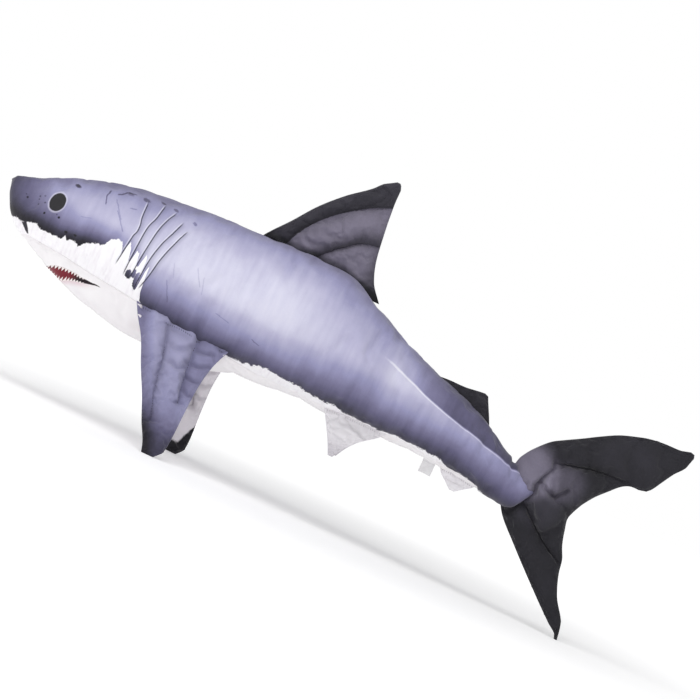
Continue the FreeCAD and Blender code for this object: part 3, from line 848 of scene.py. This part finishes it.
# spots round the eye and smudges over the gills: x, height, half width, half height, darkness
SPOTS = [(-495, 339, 5, 2.6, 0.34), (-565, 290, 1.8, 1.8, 0.20), (-569, 294, 1.4, 1.2, 0.12),
         (-547, 300, 1.5, 1.5, 0.16), (-546, 295, 1.3, 1.3, 0.16), (-538, 303, 2.0, 1.3, 0.12),
         (-533, 293, 2.0, 1.6, 0.18), (-544, 287, 1.5, 1.5, 0.14), (-527, 277, 2.0, 2.0, 0.28),
         (-502, 280, 2.2, 2.0, 0.34), (-507, 283, 1.2, 1.2, 0.18), (-384, 365, 6.5, 2.8, 0.20),
         (-357, 373, 4.5, 2.0, 0.20), (-334, 371, 4.5, 2.0, 0.18), (-297, 364, 4.0, 2.2, 0.16),
         (-412, 363, 6.0, 2.2, 0.12), (-466, 264, 3.0, 2.0, 0.14), (-482, 263, 3.0, 2.0, 0.14)]
NOSTRIL = [(-13, 4.2), (-4, 3.2), (4, 2.4), (12, 0.6)]      # along it, half width
EYE = (0, 0, 12.3, 15.9)


def grey_brightness(net, x, y, z, above, coarse, fine):
    """How bright the grey print is: its shading, painted shade towards the back's outline, its pale
    line, scratches and spots.
    """
    cloudy = net.noise(net.place("printed")[0], 42.0, 3.0, 0.55)
    height = z - net.curve(x, PRINT_BASE)
    bright = net.curve(height * net.curve(x, PRINT_CLIMB), BRIGHTNESS)
    # painted shade: the print darkens towards the back's outline
    rim = net.curve(net.curve(x, CROWN) - z, RIM_SHADE)
    over = z - net.curve(x, STEM_LINE)
    top_part = net.smooth(over, -1.0, 1.5) * net.smooth(x, 50, 75)
    shade = net.curve(x, ABOVE_STEM)
    bright = bright * net.curve(x, ALONG_BODY) * rim * (1.0 - top_part * (1.0 - shade))
    streak = net.noise(net.vector(x * 0.09, y * 0.02, z * 0.012), 1.0, 2.0, 0.5)
    bright = bright + (cloudy - 0.5) * 0.10 + (streak - 0.5) * 0.10 + (fine - 0.5) * 0.03
    soot = net.smooth(above, 26, 2) * net.smooth(x, -380, -430) * (coarse * 0.8 + 0.5)
    line = net.smooth((over + (fine - 0.5) * 1.2).abs(), 2.6, 0.6) * net.smooth(x, 70, 100)
    bright = bright - soot * 0.07 + line * 0.16
    for ax, az, bx, bz, wide, dark in SCRATCHES:
        length = math.hypot(bx - ax, bz - az)
        ux, uz = (bx - ax) / length, (bz - az) / length
        along = (x - ax) * ux + (z - az) * uz
        across = (x - ax) * uz - (z - az) * ux + (coarse - 0.5) * 3
        mark = (net.smooth(across.abs(), wide * 1.8, wide * 0.4) * net.smooth(along, -1, 2)
                * net.smooth(along, length + 1, length - 2))
        bright = bright - mark * dark
    for spot in SPOTS:
        apart = net.math("SQRT", net.oval(x, z, spot))
        bright = bright - net.smooth(apart + (fine - 0.5) * 0.8, 1.3, 0.6) * spot[4]
    return bright


def body_print():
    """The printed cloth of the sides: grey back, ragged white border, eye, gills and scratches."""
    net = Net("printed_grey_cloth")
    rest, _ = net.place("rest")
    spot, (x, y, z) = net.place("printed")
    fine = net.noise(spot, 2.2, 2.0, 0.6)
    coarse = net.noise(spot, 7.0, 2.0, 0.6)
    jag = (coarse - 0.5) * net.curve(x, RAGGED) + (fine - 0.5) * 3
    head = net.curve(x, HEAD_BORDER, sharp=True) * net.smooth(x, -320, -322)
    rear = net.curve(x, REAR_BORDER) * net.smooth(x, -322, -320)
    above = z + jag - net.math("MAXIMUM", head, rear)
    grey = net.smooth(above, -1.2, 1.2)
    for blotch in BLOTCHES:
        apart = net.oval(x + (fine - 0.5) * 5, z + (coarse - 0.5) * 12, blotch)
        grey = net.math("MAXIMUM", grey, net.smooth(apart, 1.25, 0.8))
    colour = net.ramp(grey_brightness(net, x, y, z, above, coarse, fine), GREY_PRINT)
    # white cheek and belly side, faintly marked
    smear = net.noise(net.vector(x * 0.16, y * 0.05, z * 0.03), 1.0, 2.0, 0.5)
    cheek = net.ramp(smear, [(0.28, (237, 233, 238)), (0.50, (246, 244, 247)),
                             (0.75, (249, 248, 250))])
    colour = net.mix(grey, cheek, colour)
    # nostril
    run = (x + 544.5) * 0.6 - (z - 243) * 0.8
    off = ((x + 544.5) * 0.8 + (z - 243) * 0.6).abs() - net.curve(run, NOSTRIL)
    slit = (net.smooth(off + (fine - 0.5) * 1.5, 0.6, -0.6) * net.smooth(run, -13, -9)
            * net.smooth(run, 12, 9))
    colour = net.mix(slit, colour, (44, 40, 50))
    # gill slits with a pale edge
    for points in GILLS:
        low, high = points[0][0], points[-1][0]
        off = x - net.curve(z, points)
        reach = net.smooth(z, low - 2, low + 10) * net.smooth(z, high + 2, high - 8)
        dark = net.smooth(off.abs() + (fine - 0.5) * 0.5, 1.5, 0.4) * reach
        soft = net.smooth(off, 9, 0.5) * net.smooth(off, -0.5, 0.5) * reach * 0.34
        pale = net.smooth((off + 2.2).abs(), 1.4, 0.3) * reach * net.smooth(z, 240, 262)
        colour = net.mix(soft * grey, colour, (96, 93, 120))
        colour = net.mix(pale * 0.55, colour, (226, 225, 238))
        colour = net.mix(dark * 0.92, colour, (48, 46, 62))
    # eye, a little tilted
    ex, ez = x + 514.5, z - 301.8
    turned = net.oval(ex * 0.97 - ez * 0.22, ex * 0.22 + ez * 0.97, EYE)
    ring = net.math("SQRT", turned) + (coarse - 0.5) * 0.10
    colour = net.mix(net.smooth(ring, 1.26, 1.06) * 0.55, colour, (214, 212, 228))
    colour = net.mix(net.smooth(ring, 1.05, 0.95), colour, (43, 42, 45))
    return net.finish(colour, pile(net, rest))


def belly_print():
    """White belly cloth, with the printed mouth under the snout."""
    net = Net("white_belly_cloth")
    rest, _ = net.place("rest")
    _, (x, _, z) = net.place("printed")
    cloudy = net.noise(rest, 55.0, 3.0, 0.5)
    fine = net.noise(rest, 2.0, 2.0, 0.6)
    colour = net.ramp(cloudy, [(0.25, (232, 227, 229)), (0.5, (241, 238, 240)),
                               (0.8, (246, 244, 245))])
    below_lip = net.curve(x, MOUTH_TOP) - z + (fine - 0.5) * 0.5
    above_lip = z - net.curve(x, MOUTH_BOTTOM) + (fine - 0.5) * 0.5
    inside = net.smooth(x, -492, -490) * net.smooth(x, -393, -395)
    mouth = net.smooth(below_lip, -0.4, 0.4) * net.smooth(above_lip, -0.4, 0.4) * inside
    blush = net.smooth(above_lip, -10, 0) * net.smooth(x, -480, -450) * net.smooth(x, -396, -430)
    colour = net.mix(blush * net.smooth(below_lip, -1, 1) * 0.45, colour, (205, 160, 172))
    shadow = net.math("MAXIMUM", net.smooth(below_lip, 5, 0.5) * 0.8, net.smooth(x, -452, -428))
    colour = net.mix(mouth, colour, net.mix(shadow, (118, 22, 38), (30, 16, 24)))
    upper = net.curve(x, UPPER_TEETH)
    lower = net.curve(x, LOWER_TEETH)
    for depth, size, start, tall in ((below_lip, 5.4, 0.1, upper), (above_lip, 4.9, 0.5, lower)):
        saw = (net.math("FRACT", x / size + 100 + start) * 2 - 1).abs()
        tooth = net.smooth(depth - (1.0 - saw) * tall, 0.4, -0.4) * net.smooth(x, -416, -424)
        colour = net.mix(tooth * mouth, colour, (240, 230, 228))
    return net.finish(colour, pile(net, rest))


# brightness of the charcoal print to its colour
CHARCOAL_PRINT = [(0.0, (22, 22, 25)), (0.12, (40, 39, 45)), (0.2, (58, 56, 65)),
                  (0.3, (86, 82, 95)), (0.42, (122, 117, 134)), (0.6, (150, 145, 162))]
# where the painted fold shade of the pectoral's rear channel starts, and the pectoral's front edge:
# level, x
PECTORAL_REAR_SHADE = [(-200, -184), (-118, -190), (-88, -195), (-50, -200), (-4, -203), (30, -204)]
PECTORAL_FRONT = [(-217, -209), (-172, -228), (-85, -268), (24, -314)]
# the dorsal fin's two stitch rows and its root: x, level; and the painted light on its channels, by
# height above the lower row: level, share
DORSAL_UPPER = [(-143, 404), (-118, 447), (-70, 491), (-14, 522), (10, 528)]
DORSAL_LOWER = [(-88, 402), (-60, 429), (-30, 450), (-4, 456), (20, 458)]
DORSAL_ROOT = [(-183, 397), (-86, 397), (-41, 395), (-12, 388), (11, 381), (34, 373)]
DORSAL_LIGHT = [(-60, 0.85), (-30, 1.0), (-1, 1.0), (1, 0.35), (14, 0.65), (40, 1.0), (90, 1.0)]
# lighter patches on the tail fin, partly the print's mauve near the root and partly painted sheen
# highlights on its channels: x, level, size, size, lightness
TAIL_MAUVE_AND_HIGHLIGHTS = [(8, 36, 62, 62, 0.30), (68, 55, 46, 46, 0.17), (56, 0, 50, 50, 0.08),
                (120, 150, 60, 60, 0.03)]


def charcoal_brightness(net, kind, x, level, cloudy, fine):
    """How bright the charcoal print of a fin is, with painted light and shade on the dorsal fin and
    painted highlights on the tail.
    """
    bright = (cloudy - 0.5) * 0.10 + (fine - 0.5) * 0.04
    if kind == "dorsal":
        upper = level - net.curve(x, DORSAL_UPPER)
        lower = level - net.curve(x, DORSAL_LOWER)
        # painted light and shade: the channels behind the front stitch row are lit, least just above
        # the lower row, and the front channel stays dark
        lit = net.smooth(upper, 1.5, -1.5) * net.curve(lower, DORSAL_LIGHT)
        # painted shade in the crease along the fin's root
        root = net.smooth(level - net.curve(x, DORSAL_ROOT), 13, 1)
        return bright + lit * 0.23 * net.smooth(x, 26, -20) + 0.17 - root * 0.17
    if kind == "tail":
        bright = bright + 0.105 - net.smooth(level, -90, -190) * 0.06
        # the print's mauve near the root, and painted sheen highlights on the channels
        for patch in TAIL_MAUVE_AND_HIGHLIGHTS:
            apart = net.oval(x, level, patch) + (cloudy - 0.5) * 0.6
            bright = bright + net.smooth(apart, 1.0, 0.0) * patch[4]
        return bright
    return bright + 0.13


def fin_print(name, kind):
    """A fin's cloth, with painted shade where its stitch rows and creases draw it in."""
    net = Net(name)
    rest, _ = net.place("rest")
    _, (x, recess_shade, level) = net.place("printed")
    cloudy = net.noise(rest, 38.0, 3.0, 0.55)
    fine = net.noise(rest, 1.6, 2.0, 0.6)
    if kind == "pectoral":
        tip = net.smooth(level + (cloudy - 0.5) * 20, -118, -200)
        # painted fold shade over the upper part of the pectoral's rear channel
        rear = net.smooth(x - net.curve(level, PECTORAL_REAR_SHADE), -3, 5)
        rear = rear * net.smooth(level, -125, -90)
        front = net.smooth(x - net.curve(level, PECTORAL_FRONT), 26, 0)
        bright = (cloudy - 0.5) * 0.12 + (fine - 0.5) * 0.04 + 0.62
        colour = net.ramp(bright - tip * 0.36 - front * 0.16 - rear * 0.10, GREY_PRINT)
    elif kind == "pectoral_under":
        rough = (cloudy - 0.5) * 16 + (fine - 0.5) * 6
        tip = net.math("MAXIMUM", net.smooth(level - (x + 190) * 2.2 + rough, -182, -190),
                       net.smooth(level + rough, -184, -192))
        colour = net.mix(tip, (226, 221, 227), (30, 28, 34))
    elif kind == "pale":
        edge = net.smooth(level + (cloudy - 0.5) * 14, -30, -66)
        colour = net.mix(edge * 0.5, (232, 229, 233), (168, 162, 172))
    else:
        bright = charcoal_brightness(net, kind, x, level, cloudy, fine)
        colour = net.ramp(bright, CHARCOAL_PRINT)
    # painted shade in the stitch rows and creases, as deep as the cloth is drawn in
    darker = net.mix(1.0, colour, (96, 92, 108), "MULTIPLY")
    colour = net.mix(recess_shade * 0.55, colour, darker)
    return net.finish(colour, pile(net, rest), sheen=0.3)


def thread_material(name, colour):
    """Sewing thread, lighter and darker along its twist."""
    net = Net(name)
    rest, _ = net.place("rest")
    twist = net.noise(rest, 0.7, 2.0, 0.6)
    shade = net.ramp(twist, [(0.2, tuple(int(c * 0.7) for c in colour)), (0.8, colour)])
    return net.finish(shade, twist, depth=0.0002, roughness=0.6, sheen=0.1)


# ------------------------------------------------------------------ build the shark

grey_cloth = body_print()
white_cloth = belly_print()
charcoal_cloth = fin_print("fin_charcoal_cloth", "charcoal")
dorsal_cloth = fin_print("dorsal_charcoal_cloth", "dorsal")
tail_cloth = fin_print("tail_charcoal_cloth", "tail")
upper_cloth = fin_print("pectoral_upper_cloth", "pectoral")
under_cloth = fin_print("pectoral_under_cloth", "pectoral_under")
pale_cloth = fin_print("pelvic_cloth", "pale")
dark_thread = thread_material("dark_thread", (58, 56, 66))
white_thread = thread_material("white_thread", (214, 210, 214))

TAIL_BEND = ((0.315, 0, 0.2), (0.385, 0, 0.2))


def cloth_piece(obj, material, nodes, bodies, bend=None):
    """Give a piece its cloth and hide the CAD parts it replaces; with a bend line its placement goes
    into its points, else it is tied to its first body.
    """
    obj.data.materials.append(material)
    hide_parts(*nodes)
    if bend:
        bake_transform(obj)
    else:
        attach(obj, bodies[0])
    return obj


for side, word in ((-1, "left"), (1, "right")):
    panel = body_panel("%s_side_cloth" % word, side)
    nodes = ["%s_side_panel" % word] + (["body_stuffing"] if side < 0 else [])
    cloth_piece(panel, grey_cloth, nodes, ("body", "tail"), TAIL_BEND)
belly = belly_panel_piece("belly_cloth")
cloth_piece(belly, white_cloth, ["belly_panel"], ("body", "tail"),
            TAIL_BEND)


def bend_line(prefix, start_level, end_level, x, mirror=False):
    """Two points on a fin's own up direction, in metres."""
    ends = to_row_frame(prefix, np.array([[x, 0, start_level], [x, 0, end_level]], float), mirror)
    return tuple(tuple(float(v) for v in end * MM) for end in ends)


# each fin's bend: start level, end level, x in its own frame
ROOTS = {"dorsal": (396, 428, -80), "second_dorsal": (2, 14, 58), "anal": (170, 158, 269),
         "pectoral": (4, -34, -226), "pelvic": (4, -14, 78)}


def build_fin(prefix, names, fin_body, materials, slots, fillings, quilt, seam, mirror, size):
    """Both faces, the stitch rows and the root seam of one fin."""
    shape = Fin(prefix)
    bend = TAIL_BEND if prefix == "tail" else bend_line(prefix, *ROOTS[prefix], mirror)
    for side, name, material, slot in zip((-1, 1), names, materials, slots):
        panel = fin_panel(name.replace("_panel", "_cloth"), shape, side, mirror, *size)
        nodes = [name] + (fillings if side < 0 else [])
        cloth_piece(panel, material, nodes, ("body", fin_body), bend)
    if quilt:
        thread = fin_quilting(quilt.replace("quilting", "stitches"), shape, mirror)
        cloth_piece(thread, dark_thread, [quilt], ("body", fin_body), bend)
    if seam:
        thread = root_seam_piece(seam.replace("root_seam", "root_stitches"), shape, mirror)
        pale = prefix in ("pelvic", "anal")
        cloth_piece(thread, white_thread if pale else dark_thread, [seam],
                    ("body", fin_body), bend)


CHARCOAL = ["charcoal_fin_cloth"] * 2
build_fin("dorsal", ["dorsal_fin_left_panel", "dorsal_fin_right_panel"], "dorsal_fin",
          [dorsal_cloth] * 2, CHARCOAL, ["dorsal_fin_stuffing"], "dorsal_fin_quilting",
          "dorsal_fin_root_seam", False, (110, 100))
build_fin("second_dorsal", ["second_dorsal_left_panel", "second_dorsal_right_panel"],
          "second_dorsal_fin", [charcoal_cloth] * 2, CHARCOAL, ["second_dorsal_stuffing"], None,
          "second_dorsal_root_seam", False, (40, 70))
build_fin("anal", ["anal_fin_left_panel", "anal_fin_right_panel"], "anal_fin",
          [pale_cloth] * 2, ["white_belly_cloth"] * 2, ["anal_fin_stuffing"], None,
          "anal_fin_root_seam", False, (36, 50))
build_fin("tail", ["tail_fin_left_panel", "tail_fin_right_panel"], "tail",
          [tail_cloth] * 2, CHARCOAL, ["tail_fin_stuffing"], "tail_fin_quilting", None,
          False, (190, 100))
for word, mirror in (("left", False), ("right", True)):
    build_fin("pectoral", [word + "_pectoral_upper_panel", word + "_pectoral_lower_panel"],
              word + "_pectoral_fin", [upper_cloth, under_cloth],
              ["fin_grey_cloth", "white_belly_cloth"], [word + "_pectoral_stuffing"],
              word + "_pectoral_quilting", word + "_pectoral_root_seam", mirror, (120, 90))
    build_fin("pelvic", [word + "_pelvic_outer_panel", word + "_pelvic_inner_panel"],
              word + "_pelvic_fin", [pale_cloth] * 2, ["white_belly_cloth"] * 2,
              [word + "_pelvic_stuffing"], None, word + "_pelvic_root_seam", mirror, (50, 70))


def closing_stitch_piece():
    """The hand-sewn stitches that close the filling hole, in the belly seam on the right."""
    starts, ends, outward = [], [], []
    for number, x in enumerate(np.arange(-108.0, -12.0, 4.6)):
        x = np.array(x + 0.7 * math.sin(number * 2.3))
        turn = seam_angle(x)
        upper, out = body_surface(x, turn - 0.030, 1)
        lower, _ = body_surface(x + 1.6, turn + 0.028, 1)
        starts.append(upper - out * 0.4)
        ends.append(lower - out * 0.4)
        outward.append(out)
    return stitch_row("closing_thread", starts, ends, outward, radius=0.5, lift=0.7)


def care_label_piece():
    """A blank satin label, folded once, with its ends sewn into the belly seam on the right."""
    low, high = (np.array(corner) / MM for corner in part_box("care_label"))
    fall = np.array([0, high[1] - low[1], low[2] - high[2]])
    length = np.linalg.norm(fall)
    fall = fall / length
    face = np.cross([1, 0, 0], fall)
    start = np.array([low[0], low[1], high[2]])
    wide = high[0] - low[0]
    across = np.linspace(0, wide, 24)[None, :, None]
    run = np.linspace(0, 2 * length, 70)
    down = (length - 1) - np.abs((length - 1) - run * (length - 1) / length)
    apart = 0.9 * np.tanh((run - length) / 2.5)
    curl = 1.3 * np.sin(down / length * 3.0) + 0.5 * np.sin(down / 5.0)
    grid = (start + across * np.array([1, 0, 0]) + down[:, None, None] * fall
            + (apart + curl)[:, None, None] * face)
    grid = grid + 0.6 * np.sin(across / wide * 5) * face * (down / length)[:, None, None]
    normals = grid_normals(grid)
    return cloth_sheet("care_label_satin", grid, normals, grid, thickness=0.25)


def satin_material():
    """Fine ribbed satin, with a faint hem line."""
    net = Net("label_satin")
    rest, (x, y, z) = net.place("rest")
    rib = (net.math("FRACT", x / 0.6) * 2 - 1).abs()
    mottle = net.noise(rest, 6.0, 2.0, 0.5)
    hem = net.smooth((z - 172).abs(), 0.9, 0.3)
    colour = net.ramp(mottle, [(0.2, (222, 220, 222)), (0.8, (240, 239, 240))])
    colour = net.mix(hem * 0.3, colour, (190, 188, 192))
    return net.finish(colour, rib * 0.6 + mottle, depth=0.0002, roughness=0.42, sheen=0.1)


closing = closing_stitch_piece()
cloth_piece(closing, white_thread, ["closing_stitches"], ("body",))
label = care_label_piece()
cloth_piece(label, satin_material(), ["care_label"], ("body",))

# ------------------------------------------------------------------ stage, lights and camera


def backdrop():
    """A wide pale floor. Its far part glows a little, so it fades into the pale surroundings."""
    reach = 14000.0
    corners = reach * np.array([(-1, -1, 0), (1, -1, 0), (1, 1, 0), (-1, 1, 0)])
    obj = make_object("studio_floor", corners, [(0, 1, 2, 3)], [("rest", corners)])
    net = Net("studio_paper")
    _, (x, y, _) = net.place("rest")
    away = net.math("SQRT", x * x + y * y)
    net.shader.inputs["Base Color"].default_value = linear(243, 243, 244)
    net.shader.inputs["Roughness"].default_value = 0.9
    net.shader.inputs["Emission Color"].default_value = (1, 1, 1, 1)
    net.feed(net.shader.inputs["Emission Strength"], net.smooth(away, 250, 1600) * 0.46 + 0.22)
    obj.data.materials.append(net.material)


def area_light(name, place, target, size, power):
    """A soft rectangular light, in metres and watts."""
    data = bpy.data.lights.new(name, "AREA")
    data.shape = "RECTANGLE"
    data.size, data.size_y = size
    data.energy = power
    obj = bpy.data.objects.new(name, data)
    bpy.context.scene.collection.objects.link(obj)
    look_at(obj, place, target)


def look_at(obj, place, target, roll=0.0):
    """Put an object at a place, looking at a target, turned about its own view line."""
    place, target = Vector(place), Vector(target)
    turn = (target - place).to_track_quat("-Z", "Y").to_matrix().to_4x4()
    obj.matrix_world = Matrix.Translation(place) @ turn @ Matrix.Rotation(roll, 4, "Z")


backdrop()
TARGET = ((CENTRE_X - PRINT_SHIFT) * MM, 0.0, CENTRE_Z * MM)
area_light("front_light", (-0.9, -2.6, 1.5), (0, 0, 0.25), (2.4, 1.8), 15)
area_light("top_light", (-0.7, -0.9, 2.3), (0, 0, 0.3), (1.6, 1.2), 23)
area_light("tail_light", (2.4, -1.6, 0.9), (0.2, 0, 0.25), (1.4, 1.4), 8)

world = bpy.data.worlds.new("studio")
world.use_nodes = True
nodes, links = world.node_tree.nodes, world.node_tree.links
# soft white light all round, behind a plain white background
soft, plain = nodes["Background"], nodes.new("ShaderNodeBackground")
for source, strength in ((soft, 0.42), (plain, 1.0)):
    source.inputs["Color"].default_value = (1, 1, 1, 1)
    source.inputs["Strength"].default_value = strength
either = nodes.new("ShaderNodeMixShader")
links.new(nodes.new("ShaderNodeLightPath").outputs["Is Camera Ray"], either.inputs[0])
links.new(soft.outputs[0], either.inputs[1])
links.new(plain.outputs[0], either.inputs[2])
links.new(either.outputs[0], nodes["World Output"].inputs["Surface"])
bpy.context.scene.world = world
bpy.context.scene.view_settings.view_transform = "Standard"

camera_data = bpy.data.cameras.new("camera")
camera = bpy.data.objects.new("camera", camera_data)
bpy.context.scene.collection.objects.link(camera)
place = (TARGET[0] + DISTANCE * MM * math.sin(YAW), -DISTANCE * MM * math.cos(YAW), TARGET[2])
look_at(camera, place, TARGET, roll=ROLL)
camera_data.sensor_width = SENSOR
camera_data.lens = SENSOR * DISTANCE * PRINT_SCALE / VIEW_WIDTH
camera_data.clip_end = 60
bpy.context.scene.camera = camera
